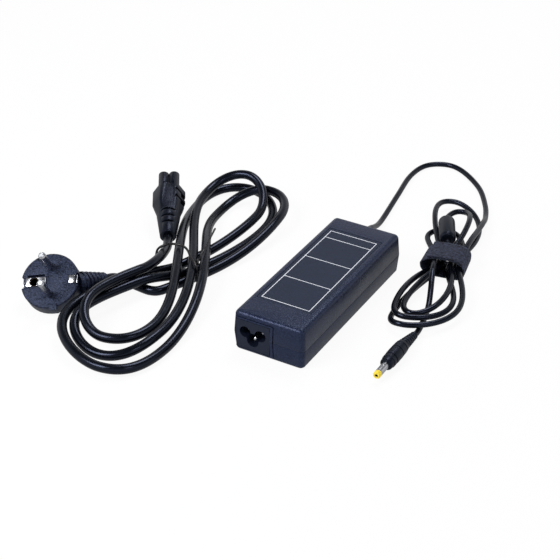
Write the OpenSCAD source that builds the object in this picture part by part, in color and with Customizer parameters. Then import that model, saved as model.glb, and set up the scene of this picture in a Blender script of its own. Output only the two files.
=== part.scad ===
// Power adapter brick with a hook-and-loop tied output lead and a twist-tied mains lead.
// Origin: middle of the case's underside. X across the case, Y along it (outlet end +Y), Z up.

/* [Case] */
// Case width at the joint line, mm
case_w = 50; // [44:0.5:60]
// Case length at the joint line, mm
case_l = 133; // [110:0.5:150]
// Case height, mm
case_h = 28; // [24:0.5:34]
// Height of the joint line above the table, mm
joint_z = 13; // [10:0.5:18]
// Wall thickness, mm
wall = 2.2; // [1.6:0.1:3]
// Outer corner radius seen from above, mm
corner_r = 3.2; // [2:0.1:6]

/* [Label] */
// Label recess width, mm
label_w = 39; // [20:0.5:44]
// Label recess length, mm
label_l = 96; // [40:1:110]
// Label recess depth, mm
label_d = 0.4; // [0.2:0.1:0.8]

/* [Inlet] */
// Inlet face width, mm
inlet_w = 23.6; // [22:0.1:26]
// Inlet face height, mm
inlet_h = 20.3; // [18:0.1:22]
// Contact spacing of the inlet, mm
pin_pitch = 10; // [9:0.1:11]
// Inlet pin diameter, mm
inlet_pin_d = 2.4; // [2:0.1:3]

/* [Cords] */
// Output cord diameter, mm
out_d = 3.8; // [3:0.1:5]
// Mains cord diameter, mm
mains_d = 6.4; // [5.5:0.1:7]

/* [Output plug] */
// Output plug handle diameter, mm
plug_d = 10.6; // [8:0.1:12]
// Output plug barrel diameter, mm
barrel_d = 4.8; // [4:0.1:6]
// Output plug hole diameter, mm
barrel_hole_d = 1.7; // [1.3:0.1:2.6]

/* [Mains plug] */
// Mains plug face diameter, mm
face_d = 38; // [36:0.5:40]
// Mains plug pin diameter, mm
mains_pin_d = 4.8; // [4:0.1:4.8]
// Mains plug pin length, mm
mains_pin_l = 19; // [18:0.1:20]
// Mains plug pin spacing, mm
mains_pin_pitch = 19; // [18:0.1:20]

/* [Hidden] */
// Part to draw

e = 0.01;
round_fn = 48;
corner_fn = 32;
cord_fn = 8;

shell_dark = [0.13, 0.14, 0.17];
metal = [0.78, 0.78, 0.76];
copper = [0.72, 0.42, 0.22];

floor_t = 2;
cavity_top = case_h - 2;
end_y = case_l / 2;

// inlet place on the front end
inlet_x1 = 0.7;
inlet_x0 = inlet_x1 - inlet_w;
inlet_z0 = 2.3;
inlet_front = -end_y + 0.9;
inlet_depth = 16;
clover_x = -11.1;
ear_z = 14.4;
ear_gap = 5.3;
ear_r = 3.9;
earth_r = 4.1;
earth_drop = 5.2;
clover_depth = 13;

board_w = 43;
board_y0 = -49.4;
board_y1 = 60;
board_z = 4.5;
board_t = 1.6;
top_z = board_z + board_t;

grommet_x = -8.5;
grommet_z = 13;

label_x = -0.4;
label_y = 1.9;

module plate(w, l, h, r) {
  hull() {
    for (sx = [-1, 1])
      for (sy = [-1, 1])
        translate([sx * (w / 2 - r), sy * (l / 2 - r), 0]) cylinder(r = r, h = h, $fn = corner_fn);
  }
}

module inset_plate(inset, z, h) {
  translate([0, 0, z]) plate(case_w - 2 * inset, case_l - 2 * inset, h, max(corner_r - inset, 0.8));
}

module box3(x0, x1, y0, y1, z0, z1) {
  translate([x0, y0, z0]) cube([x1 - x0, y1 - y0, z1 - z0]);
}

module bottom_shape() {
  hull() {
    inset_plate(2.4, 0, e);
    inset_plate(1.0, 1.6, e);
    inset_plate(0, joint_z - 0.4, e);
    inset_plate(0.3, joint_z - e, e);
  }
}

module top_shape() {
  hull() {
    inset_plate(0.3, joint_z, e);
    inset_plate(0, joint_z + 0.4, e);
    inset_plate(0.8, case_h - 2.6, e);
    inset_plate(1.4, case_h - 0.9, e);
    inset_plate(2.6, case_h - e, e);
  }
}

module inlet_hole() {
  box3(inlet_x0, inlet_x1, -end_y - 1, inlet_front + inlet_depth + 1, inlet_z0, inlet_z0 + inlet_h);
}

module inlet_groove() {
  groove_x = 3.1;
  box3(groove_x, groove_x + 0.5, -end_y - 1, -end_y + 1.9, inlet_z0 - 0.3, inlet_z0 + inlet_h + 0.7);
  box3(inlet_x0, groove_x + 0.5, -end_y - 1, -end_y + 1.9, inlet_z0 + inlet_h + 0.2, inlet_z0 + inlet_h + 0.7);
}

module grommet_hole(d) {
  translate([grommet_x, end_y + 1, grommet_z]) rotate([90, 0, 0]) cylinder(d = d, h = 8, $fn = round_fn);
}

module bottom_cover() {
  post_x = 17;
  color(shell_dark) {
    difference() {
      bottom_shape();
      translate([0, 0, floor_t]) plate(case_w - 2 * wall - 0.6, case_l - 2 * wall - 0.6, joint_z, 2);
      inlet_hole();
      inlet_groove();
      grommet_hole(8.4);
    }
    for (sx = [-1, 1])
      for (y = [-40, 0, 50])
        translate([sx * post_x, y, floor_t - e]) cylinder(d = 5, h = board_z - floor_t + e, $fn = corner_fn);
  }
}

module top_cover() {
  color(shell_dark)
    difference() {
      top_shape();
      translate([0, 0, joint_z - 1]) plate(case_w - 2 * wall - 1.6, case_l - 2 * wall - 1.6, cavity_top - joint_z + 1, 2);
      translate([label_x, label_y, case_h - label_d]) plate(label_w, label_l, label_d + 1, 1.5);
      inlet_hole();
      inlet_groove();
      grommet_hole(8.4);
    }
}

module rating_label() {
  color([0.16, 0.17, 0.2])
    translate([label_x, label_y, case_h - label_d]) plate(label_w - 0.6, label_l - 0.6, label_d - 0.1, 1.2);
}

module clover(grow) {
  for (s = [-1, 1])
    translate([s * ear_gap, 0]) circle(r = ear_r + grow, $fn = round_fn);
  translate([0, -earth_drop]) circle(r = earth_r + grow, $fn = round_fn);
  polygon([[-5.6, -2.8], [-2.9, 0.3], [2.9, 0.3], [5.6, -2.8], [3.2, -5.6], [-3.2, -5.6]]);
}

module inlet_pin(x, z, tip) {
  y0 = inlet_front + tip;
  y1 = inlet_front + inlet_depth + 2;
  translate([x, y1, z]) rotate([90, 0, 0]) cylinder(d = inlet_pin_d, h = y1 - y0 - 0.6, $fn = round_fn);
  translate([x, y0 + 0.6 + e, z]) rotate([90, 0, 0])
    cylinder(d1 = inlet_pin_d, d2 = inlet_pin_d - 1.2, h = 0.6, $fn = round_fn);
}

module inlet_body() {
  color([0.1, 0.1, 0.12])
    difference() {
      box3(inlet_x0, inlet_x1, inlet_front, inlet_front + inlet_depth, inlet_z0, inlet_z0 + inlet_h);
      translate([clover_x, inlet_front + clover_depth, ear_z]) rotate([90, 0, 0])
        linear_extrude(clover_depth + 1) clover(0);
      for (p = [[-pin_pitch / 2, 0], [pin_pitch / 2, 0], [0, -earth_drop]])
        translate([clover_x + p[0], inlet_front + inlet_depth + 1, ear_z + p[1]]) rotate([90, 0, 0])
          cylinder(d = inlet_pin_d, h = 6, $fn = round_fn);
    }
}

module inlet_power_pins() {
  color(metal)
    for (s = [-1, 1]) {
      inlet_pin(clover_x + s * pin_pitch / 2, ear_z, 4);
      box3(clover_x + s * pin_pitch / 2 - 0.6, clover_x + s * pin_pitch / 2 + 0.6,
           inlet_front + inlet_depth + 0.9, inlet_front + inlet_depth + 2, top_z, ear_z);
    }
}

module inlet_earth_pin() {
  z = ear_z - earth_drop;
  color(metal) {
    inlet_pin(clover_x, z, 2.6);
    box3(clover_x - 0.6, clover_x + 0.6, inlet_front + inlet_depth + 0.9, inlet_front + inlet_depth + 2, top_z, z);
  }
}

module circuit_board() {
  color([0.1, 0.35, 0.18])
    box3(-board_w / 2, board_w / 2, board_y0, board_y1, board_z, top_z);
}

module input_fuse() {
  color([0.2, 0.12, 0.08]) translate([15, -43, top_z]) cylinder(d = 8.5, h = 7.5, $fn = round_fn);
}

module common_mode_choke() {
  color(copper) translate([9, -27.5, top_z]) difference() {
    cylinder(d = 20, h = 11, $fn = round_fn);
    translate([0, 0, -1]) cylinder(d = 8.5, h = 13, $fn = round_fn);
  }
}

module x_capacitor() {
  color([0.75, 0.68, 0.2]) box3(-20, -2.5, -44, -36, top_z, top_z + 14);
}

module bridge_rectifier() {
  color([0.12, 0.12, 0.12]) box3(-20, -2.5, -31, -27, top_z, top_z + 14);
}

module bulk_capacitor() {
  cap_d = 18;
  color([0.12, 0.16, 0.3])
    translate([-10, 12, top_z + cap_d / 2]) rotate([90, 0, 0]) cylinder(d = cap_d, h = 34, $fn = round_fn);
}

module primary_heat_sink() {
  color([0.7, 0.71, 0.72]) box3(19, 20.6, -15, 36, top_z, top_z + 18);
}

module power_transistor() {
  color([0.1, 0.1, 0.1]) box3(14.5, 19, 0, 10, top_z + 1, top_z + 16);
}

module transformer_core() {
  cx = -4;
  cz = 15.6;
  color([0.22, 0.22, 0.24]) {
    difference() {
      box3(cx - 13, cx + 13, 17, 40, cz - 9, cz + 9);
      box3(cx - 9, cx + 9, 21, 36, cz - 10, cz + 10);
    }
    translate([cx, 36.5, cz]) rotate([90, 0, 0]) cylinder(d = 8, h = 16, $fn = round_fn);
  }
}

module transformer_winding() {
  cx = -4;
  cz = 15.6;
  color([0.85, 0.75, 0.2])
    difference() {
      union() {
        translate([cx, 36, cz]) rotate([90, 0, 0]) cylinder(d = 17.6, h = 15, $fn = round_fn);
        box3(cx - 6, cx + 6, 21, 36, top_z, cz - 5);
      }
      translate([cx, 37, cz]) rotate([90, 0, 0]) cylinder(d = 8, h = 17, $fn = round_fn);
    }
}

module secondary_heat_sink() {
  color([0.7, 0.71, 0.72]) box3(-21, -19.4, 18, 57, top_z, top_z + 18);
}

module output_rectifier() {
  color([0.1, 0.1, 0.1]) box3(-19.4, -14.9, 44, 54, top_z + 1, top_z + 16);
}

module output_capacitors() {
  color([0.14, 0.17, 0.3])
    for (x = [-8, 3, 14])
      translate([x, 47.5, top_z]) cylinder(d = 10, h = 18.5, $fn = round_fn);
}

module y_capacitor() {
  color([0.2, 0.45, 0.75]) translate([16, 33, top_z + 4]) rotate([0, -90, 0]) cylinder(d = 8, h = 4, $fn = round_fn);
}

module control_chip() {
  color([0.08, 0.08, 0.08]) box3(4, 11, -12, -4, top_z, top_z + 2);
}

module optocoupler() {
  color([0.92, 0.92, 0.9]) box3(12, 16.6, 18, 24.5, top_z, top_z + 3.5);
}

module insulation_sheet() {
  color([0.85, 0.82, 0.7])
    difference() {
      box3(-21, 21, -48, 61, floor_t, floor_t + 0.4);
      for (sx = [-1, 1])
        for (y = [-40, 0, 50])
          translate([sx * 17, y, 0]) cylinder(d = 5, h = board_z, $fn = corner_fn);
    }
}

module shield_plate() {
  color([0.8, 0.78, 0.7]) box3(-20, 20, -44, 58, cavity_top - 0.5, cavity_top);
}

module output_grommet() {
  color([0.1, 0.1, 0.12])
    difference() {
      union() {
        translate([grommet_x, end_y + 0.6, grommet_z]) rotate([90, 0, 0]) cylinder(d = 8.4, h = 6, $fn = round_fn);
        translate([grommet_x, end_y + 0.5, grommet_z]) rotate([-90, 0, 0]) cylinder(d1 = 8, d2 = 5.6, h = 13, $fn = round_fn);
        for (i = [0:3])
          translate([grommet_x, end_y + 1 + 3 * i, grommet_z]) rotate([-90, 0, 0])
            cylinder(d = 8.6 - 0.5 * i, h = 1.5, $fn = round_fn);
        translate([grommet_x, end_y - wall - 0.8, grommet_z]) rotate([90, 0, 0]) cylinder(d = 11, h = 1.6, $fn = round_fn);
      }
      translate([grommet_x, end_y + 20, grommet_z]) rotate([90, 0, 0]) cylinder(d = out_d, h = 40, $fn = round_fn);
    }
}

// ---- curves ----
function lerp3(t) = t * t * (3 - 2 * t);
function lim(t) = min(max(t, 0), 1);
function unit(v) = v / norm(v);
function pick(l, i) = i < 0 ? l[1] : (i > 5 ? l[4] : l[i]);

// one point of a cubic through the listed points
function cubic(a, b, c, d, t) =
  0.5 * ((2 * b) + (c - a) * t + (2 * a - 5 * b + 4 * c - d) * t * t + (3 * b - a - 3 * c + d) * t * t * t);
function through(p, n) = concat(
  [for (i = [0:len(p) - 2]) for (k = [0:n - 1])
    cubic(p[max(i - 1, 0)], p[i], p[i + 1], p[min(i + 2, len(p) - 1)], k / n)],
  [p[len(p) - 1]]);

// faceted tube with round ends cut square to the first and last stretch
function tube_points(q, r, n) = [for (i = [0:len(q) - 1])
  let (t = unit(q[min(i + 1, len(q) - 1)] - q[max(i - 1, 0)]),
       a = unit(cross([0, 0, 1], t)),
       b = cross(t, a))
  for (k = [0:n - 1]) q[i] + r * (cos(360 * (k + 0.5) / n) * a + sin(360 * (k + 0.5) / n) * b)];
function tube_faces(m, n) = concat(
  [for (k = [1:n - 2]) [0, k, k + 1]],
  [for (i = [0:m - 2]) for (k = [0:n - 1]) [i * n + k, (i + 1) * n + k, (i + 1) * n + (k + 1) % n]],
  [for (i = [0:m - 2]) for (k = [0:n - 1]) [i * n + k, (i + 1) * n + (k + 1) % n, i * n + (k + 1) % n]],
  [for (k = [1:n - 2]) [(m - 1) * n, (m - 1) * n + k + 1, (m - 1) * n + k]]);
module tube(q, d, n) {
  polyhedron(points = tube_points(q, d / 2, n), faces = tube_faces(len(q), n), convexity = 10);
}

// gap of a drawn centre line to itself, leaving out neighbours along it
function path_gap(q, d, skip) = min([for (i = [0:len(q) - 1 - skip]) for (j = [i + skip:len(q) - 1]) norm(q[i] - q[j])]) - d;
function between(q, n) = concat([for (i = [0:len(q) - 2]) for (k = [0:n - 1]) q[i] + (q[i + 1] - q[i]) * k / n], [q[len(q) - 1]]);
function sum_steps(q, i, s) = i > len(q) - 2 ? s : sum_steps(q, i + 1, s + norm(q[i + 1] - q[i]));

// ---- mains lead bundle: three upper and three lower loops crossing at the tie ----
m_mid = [-94, -7];
m_turn = 4;
m_reach = [106, 123, 105, 110, 113, 100];
m_half = [23, 30.5, 24, 28, 25.5, 24];
m_lean = [5, 4, -11, -4, -14, -7];
m_bow = [-2, -8, -2, -5, 0, -1];
m_place = [11, 11, -9.5, 2, 3, -9, -4];
m_mid_z = [3.2, 12.5, 3.2, 11.5, 3.2, 12.3, 15.5];
m_out_z = [11, 3.2, 8, 8, 3.2, 9];
m_tip_z = [11, 5, 20, 3.2, 4, 9];
m_back_z = [3.2, 11, 12, 11, 3.2, 18];
function m_level(k) = let (m = floor(k / 4), q = k - 4 * m)
  m < 0 ? 3.2 : q == 0 ? m_mid_z[min(m, 6)] : q == 1 ? m_out_z[m] : q == 2 ? m_tip_z[m] : m_back_z[m];
function m_height(a) = let (k = floor(a / 45), t = a / 45 - k, m = floor(k / 4), q = k - 4 * m,
    late = q == 3 && m > 0 && m < 5 && m % 2 == 1, g = lerp3(late ? lim((t - 0.55) / 0.45) : t))
  m_level(k) * (1 - g) + m_level(k + 1) * g;
function m_point(a) = let (m = floor(a / 180), f = a / 180 - m, j = min(max(f < 0.5 ? m : m + 1, 0), 6),
    o = f < 0.5 ? m - 1 : m + 1, s = sin(a), c = cos(a), w1 = abs(s),
    w = 0.5 + 0.5 * pow(w1, 3) * (10 - 15 * w1 + 6 * w1 * w1),
    r = pick(m_reach, m) * w + pick(m_reach, o) * (1 - w),
    h = pick(m_half, m) * w + pick(m_half, o) * (1 - w),
    b = pick(m_bow, m) * w + pick(m_bow, o) * (1 - w),
    u = h * sin(2 * a) + pick(m_lean, m) * s * s + b * pow(sin(2 * a), 2) + m_place[j] * c * c, v = r * s)
  [m_mid[0] + u * cos(m_turn) - v * sin(m_turn), m_mid[1] + u * sin(m_turn) + v * cos(m_turn), m_height(a)];
m_from = -12;
m_to = 1062;
m_rings = 143;
m_path = [for (i = [0:m_rings]) m_point(m_from + (m_to - m_from) * i / m_rings)];

// ---- output lead bundle: three lower loops, two upper loops and the turn into the ferrite ----
s_mid = [51, 80];
s_turn = 10;
s_reach = [79.5, 83, 72, 47, 66.5, 64];
s_half = [16.8, 15.4, 15.2, 9, 10.6, -8.5];
s_lean = [-6.6, -14.2, -7.2, -12, -4, -4];
s_bow = [3.8, 0.8, 4.2, -2.8, 0.6, -1];
s_place = [9.6, -1.6, 2.8, -6.4, 4.8, -0.6];
s_mid_z = [8.2, 3.2, 3.2, 3.4, 8.4, 8];
s_out_z = [6.4, 7.2, 6, 2, 9, 13];
s_tip_z = [6.2, 5.4, 7.2, 2.2, 7, 9.6];
s_back_z = [2, 2.4, 7.2, 5.4, 6.2, 10];
function s_level(k) = let (m = floor(k / 4), q = k - 4 * m)
  m < 0 ? 8.2 : q == 0 ? s_mid_z[min(m, 5)] : q == 1 ? s_out_z[m] : q == 2 ? s_tip_z[m] : s_back_z[m];
function s_height(a) = let (k = floor(a / 45), g = lerp3(a / 45 - k)) s_level(k) * (1 - g) + s_level(k + 1) * g;
function s_point(a) = let (m = floor(a / 180), f = a / 180 - m, j = min(max(f < 0.5 ? m : m + 1, 0), 5),
    o = f < 0.5 ? m - 1 : m + 1, s = sin(a), c = cos(a), w1 = abs(s),
    w = 0.5 + 0.5 * pow(w1, 3) * (10 - 15 * w1 + 6 * w1 * w1),
    r = pick(s_reach, m) * w + pick(s_reach, o) * (1 - w), i = max(m, 0),
    u = 2 * s_half[i] * c * s * s / sqrt(s * s + 0.03) + s_lean[i] * s * s
      + s_bow[i] * pow(2 * s * c, 2) + s_place[j] * c * c, v = -r * s)
  [s_mid[0] + u * cos(s_turn) - v * sin(s_turn), s_mid[1] + u * sin(s_turn) + v * cos(s_turn), s_height(a)];
s_from = -6;
s_to = 1026;
s_rings = 138;
s_path = concat([for (i = [0:s_rings]) s_point(s_from + (s_to - s_from) * i / s_rings)],
  [[30.7, 127.6, 9.9], [31.6, 125.2, 9.9], [33.3, 121.6, 9.9]]);

echo(mains_bundle_gap = path_gap(between(m_path, 3), mains_d, 9), length = sum_steps(m_path, 0, 0));
echo(output_bundle_gap = path_gap(between(s_path, 3), out_d, 9), length = sum_steps(s_path, 0, 0));
echo(output_start = s_path[0], mains_start = m_path[0], mains_end = m_path[m_rings]);

// free stretch from the case to the tied bundle
run_path = [[-8.5, 62, 13], [-8.5, 70, 13], [-8.5, 80, 12.8], [-9.2, 89, 10.5], [-10.5, 98, 6.5], [-12, 108, 3.2],
  [-14.2, 122, 2.05], [-19.4, 154, 2.05], [-23.8, 184, 2.05], [-20.5, 204, 2.05], [-7.4, 213, 2.05],
  [7.6, 209, 2.05], [27.6, 192, 2.05], [41.5, 171, 2.1], [49, 154, 3], [52.5, 141, 6], [55, 125, 8.2],
  [56.8, 111, 10.2], [58.5, 99, 10.4], s_path[0]];
// from the ferrite under the strap and the loops to the output plug
tail_path = [[42.4, 103.6, 9.9], [43.3, 101.4, 9.8], [44.3, 97.6, 9.2], [44.6, 91, 8.7], [45.5, 82, 9], [47, 74, 10.3],
  [48.8, 68, 12.4], [52, 59, 12.6], [55.4, 50, 9.8], [58.5, 42, 6.4], [62, 32, 3], [65, 20, 2.05], [67, 10, 2.05],
  [68, 3, 2.1], [68.3, -2.2, 3.1], [68.3, -6, 3.9]];
// plug end, under the loops of the mains bundle
plug_end_path = [[-132.2, -54.4, 8.8], [-130.9, -50.7, 8], [-129, -45.5, 6.5], [-124.8, -42, 4.6], [-118, -41.4, 3.5],
  [-110, -42, 3.25], [-103, -42.2, 3.24], [-97.8, -39.6, 3.23], [m_path[0][0] - 0.7, m_path[0][1] - 1.8, 3.21],
  m_path[0]];
// from the mains bundle to the appliance connector
connector_path = [m_path[m_rings], [-109.7, -36, 15.6],
  [-109.4, -28, 14.8], [-110.8, -18, 13.4], [-113.6, -9, 11.5], [-117.4, 0, 9.5], [-121, 6.7, 8.9],
  [-124, 11.5, 9.8], [-125.5, 13.9, 10.5]];

module output_cord_run() {
  color([0.07, 0.07, 0.08]) tube(through(run_path, 3), out_d, cord_fn);
}

module output_cord_hank() {
  color([0.07, 0.07, 0.08]) tube(s_path, out_d, 6);
}

module output_cord_tail() {
  color([0.07, 0.07, 0.08]) tube(through(tail_path, 4), out_d, cord_fn);
}

module along(a, b) {
  v = b - a;
  translate(a) rotate([0, acos(v[2] / norm(v)), atan2(v[1], v[0])]) children();
}

ferrite_a = [31.8, 125, 9.9];
ferrite_b = [43.2, 101.6, 9.9];
ferrite_d = 11.5;
ferrite_l = norm(ferrite_b - ferrite_a);
core_d = 9;
core_from = 4.4;
core_to = 21;
module ferrite_sleeve() {
  color([0.09, 0.09, 0.1])
    along(ferrite_a, ferrite_b) difference() {
      union() {
        cylinder(d1 = 8, d2 = ferrite_d, h = 3.6, $fn = round_fn);
        translate([0, 0, 3.6]) cylinder(d = ferrite_d, h = ferrite_l - 9.6, $fn = round_fn);
        translate([0, 0, ferrite_l - 6]) cylinder(d1 = ferrite_d, d2 = 9.6, h = 2, $fn = round_fn);
        translate([0, 0, ferrite_l - 4]) cylinder(d = 9.6, h = 4, $fn = round_fn);
      }
      translate([0, 0, -1]) cylinder(d = out_d + 0.1, h = 1 + norm([33.3, 121.6] - [31.8, 125]), $fn = round_fn);
      translate([0, 0, core_from]) cylinder(d = core_d, h = core_to - core_from, $fn = round_fn);
      translate([0, 0, ferrite_l - norm([43.2, 101.6] - [42.4, 103.6])]) cylinder(d = out_d + 0.1, h = 5, $fn = round_fn);
      translate([0, 0, ferrite_l - 2]) cylinder(d = 7, h = 5, $fn = round_fn);
    }
}

module ferrite_core() {
  color([0.25, 0.25, 0.27])
    along(ferrite_a, ferrite_b) translate([0, 0, core_from]) cylinder(d = core_d, h = core_to - core_from, $fn = round_fn);
}

strap_mid = [52, 80.6];
module hook_and_loop_strap() {
  strap_l = 20;
  t = 1.1;
  color([0.17, 0.17, 0.19])
    translate([strap_mid[0], strap_mid[1], 0]) rotate([0, 0, s_turn]) difference() {
      band(0, strap_l);
      band(t, strap_l + 2);
    }
}

// flat-bottomed, round-topped loop
module band(inset, l) {
  foot_r = 4;
  top_r = 7;
  hull()
    for (sx = [-1, 1]) {
      translate([sx * 9.7, l / 2, foot_r]) rotate([90, 0, 0]) cylinder(r = foot_r - inset, h = l, $fn = corner_fn);
      translate([sx * 6.5, l / 2, 8.2]) rotate([90, 0, 0]) cylinder(r = top_r - inset, h = l, $fn = corner_fn);
    }
}

plug_x = 68.3;
plug_z = 5.4;
root_d = 4;
module lathe_y(y, z, profile) {
  translate([plug_x, y, z]) rotate([90, 0, 0]) rotate_extrude($fn = round_fn) polygon(profile);
}

module output_plug_moulding() {
  color([0.08, 0.08, 0.09])
    difference() {
      union() {
        along([plug_x, -2, 3.05], [plug_x, -19, plug_z]) {
          cylinder(d1 = 5.4, d2 = 8.8, h = 17.2, $fn = round_fn);
          for (i = [0:4])
            translate([0, 0, 1 + 3.3 * i]) cylinder(d = 6.2 + 0.75 * i, h = 1.7, $fn = round_fn);
        }
        lathe_y(-18, plug_z, [[0, 0], [4.4, 0], [plug_d / 2, 3], [plug_d / 2, 18], [4.7, 20.5], [4.2, 21], [4.2, 24], [0, 24]]);
      }
      along([plug_x, -1, 2.9], [plug_x, -7, 3.75]) translate([0, 0, -3]) cylinder(d = out_d + 0.5, h = 10, $fn = round_fn);
      translate([plug_x, -36, plug_z]) rotate([90, 0, 0]) cylinder(d = root_d, h = 8, $fn = round_fn);
    }
}

module rod_y(y0, y1, d) {
  translate([plug_x, y0, plug_z]) rotate([90, 0, 0]) cylinder(d = d, h = y0 - y1, $fn = round_fn);
}

module output_plug_barrel() {
  color(metal)
    difference() {
      union() {
        rod_y(-36, -42, root_d);
        rod_y(-42, -52, barrel_d);
      }
      rod_y(-35, -53, 3.4);
    }
}

module output_plug_tip() {
  color([0.85, 0.7, 0.15])
    difference() {
      union() {
        rod_y(-52, -54.4, barrel_d);
        translate([plug_x, -54.4 + e, plug_z]) rotate([90, 0, 0]) cylinder(d1 = barrel_d, d2 = 4, h = 0.6, $fn = round_fn);
        rod_y(-36, -52 - e, 3.4);
      }
      rod_y(-35, -57, 2.3);
    }
}

module output_plug_centre() {
  color(metal)
    difference() {
      rod_y(-36, -54.4, 2.3);
      rod_y(-43, -56, barrel_hole_d);
    }
}

// ---- mains plug, lying on its back rim with the pins up ----
face_mid = [-151, -84, 18.8];
module plug_frame() {
  translate(face_mid) rotate([34, -8, 26]) children();
}

module earth_recess(deep) {
  box3(-17, -2, -3.2, 3.2, -deep, 1);
  box3(12, 17.4, -2.9, 2.9, -deep, 1);
}

module mains_plug_body() {
  rim = face_d / 2;
  color([0.14, 0.15, 0.19]) {
    plug_frame() difference() {
      union() {
        translate([0, 0, -9.6]) cylinder(d = face_d, h = 9, $fn = 30);
        translate([0, 0, -0.6]) cylinder(r1 = rim, r2 = rim - 0.6, h = 0.6, $fn = 30);
        hull() {
          translate([0, 0, -10]) cylinder(r = rim - 1.2, h = 1, $fn = 30);
          translate([11, 2, -16]) cylinder(r = 8, h = 1, $fn = corner_fn);
          translate([3, 7, -20]) cylinder(r = 8.5, h = 1, $fn = corner_fn);
        }
        box3(0.4, 5.4, -rim - 1.6, -rim + 3, -6, 0.4);
      }
      earth_recess(0.6);
      box3(-14.6, -3.4, 3.2, 4.8, -3, 1);
      box3(-rim - 1, -17, -4, 4, -11, 1);
      box3(17.4, rim + 1, -4, 4, -11, 1);
      for (s = [-1, 1])
        translate([0, s * mains_pin_pitch / 2, -8]) cylinder(d = mains_pin_d - 0.8, h = 10, $fn = round_fn);
      translate([-10.3, 0, -13]) cylinder(d = 6.4, h = 14, $fn = round_fn);
    }
    difference() {
      along([-138.6, -72.4, 13.1], [-131.2, -51.5, 8.15]) {
        cylinder(r1 = 7.6, r2 = 4.2, h = 22.5, $fn = corner_fn);
        for (i = [0:5])
          translate([0, 0, 3.6 + 3.2 * i]) cylinder(r = 8 - 0.62 * i, h = 1.7, $fn = corner_fn);
      }
      plug_frame() box3(17.3, 19, -3, 3, -4.2, 1);
      along([-133.2, -57.2, 9.5], [-130.9, -50.7, 8]) translate([0, 0, -0.6]) cylinder(d = mains_d + 0.5, h = 10, $fn = corner_fn);
    }
  }
}

module mains_plug_pins() {
  color(metal)
    plug_frame()
      for (s = [-1, 1])
        translate([0, s * mains_pin_pitch / 2, 0]) {
          translate([0, 0, -8]) cylinder(d = mains_pin_d - 0.8, h = 9, $fn = round_fn);
          cylinder(d = mains_pin_d, h = mains_pin_l - 1, $fn = round_fn);
          translate([0, 0, mains_pin_l - 1 - e]) cylinder(d1 = mains_pin_d, d2 = mains_pin_d - 2, h = 1 + e, $fn = round_fn);
        }
}

module mains_plug_earth_plate() {
  color(metal)
    plug_frame() difference() {
      union() {
        box3(-17, -2, -3.2, 3.2, -0.6, 0);
        box3(12, 17.4, -2.9, 2.9, -0.6, 0);
        box3(-17.7, -17, -3.2, 3.2, -9, 0);
        box3(17.4, 18.1, -2.9, 2.9, -4, 0);
      }
      translate([-10.3, 0, -2]) cylinder(d = 5, h = 4, $fn = round_fn);
    }
}

module mains_plug_earth_sleeve() {
  color(metal)
    plug_frame() difference() {
      translate([-10.3, 0, -13]) cylinder(d = 6.4, h = 12.4, $fn = round_fn);
      translate([-10.3, 0, -12]) cylinder(d = 5, h = 14, $fn = round_fn);
    }
}

module mains_cord_plug_end() {
  color([0.07, 0.07, 0.08]) tube(through(plug_end_path, 4), mains_d, 10);
}

module mains_cord_hank() {
  color([0.07, 0.07, 0.08]) tube(m_path, mains_d, 6);
}

module mains_cord_connector_end() {
  color([0.07, 0.07, 0.08]) tube(through(connector_path, 4), mains_d, 10);
}

// ---- appliance connector, lying on its side ----
connector_at = [-124, 11.5, 9.8];
nose_r = 3.7;
nose_pitch = 3.6;
nose_z = 3.1;
contact_places = [[nose_pitch, nose_z], [-nose_pitch, nose_z], [nose_pitch, nose_z - 2 * nose_pitch]];
module connector_frame() {
  translate(connector_at) rotate([0, -14, 122]) children();
}

module rod_x(x0, x1, y, z, r, n) {
  translate([x0, y, z]) rotate([0, 90, 0]) cylinder(r = r, h = x1 - x0, $fn = n);
}

module connector_body() {
  color([0.12, 0.13, 0.16])
    connector_frame() difference() {
      union() {
        hull() {
          rod_x(0, 3, 0, 0, 5.6, corner_fn);
          rod_x(20, 22, 2.2, -1, 6, 24);
          rod_x(20, 22, -2.2, -1, 6, 24);
          rod_x(20, 22, 0, 1.4, 6, 24);
        }
        hull() {
          rod_x(20, 22, 2.2, -1, 5.6, 24);
          rod_x(20, 22, -2.2, -1, 5.6, 24);
          for (s = [-1, 1]) {
            rod_x(31, 44, s * 4.6, 4.6, 2.4, 16);
            rod_x(31, 44, s * 9, -1, 2.4, 16);
            rod_x(31, 44, s * 7.4, -6, 2.4, 16);
            rod_x(31, 48.6, s * 4.4, 2.6, 2.4, 16);
            rod_x(31, 48.6, s * 4.4, -4.4, 2.4, 16);
          }
        }
        for (p = contact_places)
          rod_x(43, 58, p[0], p[1], nose_r, round_fn);
        box3(47, 57.4, -3.3, 3.4, 0.3, 4.7);
        box3(47, 57.4, 1.1, 5.9, -3.3, 2.6);
      }
      box3(24, 48, -3.8, 3.8, 6.1, 12);
      rod_x(-1, 5, 0, 0, mains_d / 2 + 0.2, corner_fn);
      for (p = contact_places)
        rod_x(45, 60, p[0], p[1], 1.7, 24);
      for (x = [9, 14.5, 20.2])
        box3(x, x + 1.1, -9, 9, 3.9 + 0.07 * x, 12);
      for (p = [[39.5, 9], [32.5, 6.4]])
        translate([p[0], -8.6, 2.6]) rotate([-52, 0, -24]) translate([-0.9, -p[1] / 2, 0]) cube([1.8, p[1], 6]);
    }
}

module connector_contacts() {
  color(metal)
    connector_frame()
      for (p = contact_places)
        difference() {
          rod_x(45, 57, p[0], p[1], 1.7, 24);
          rod_x(47, 58, p[0], p[1], 1.2, 24);
        }
}

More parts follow.
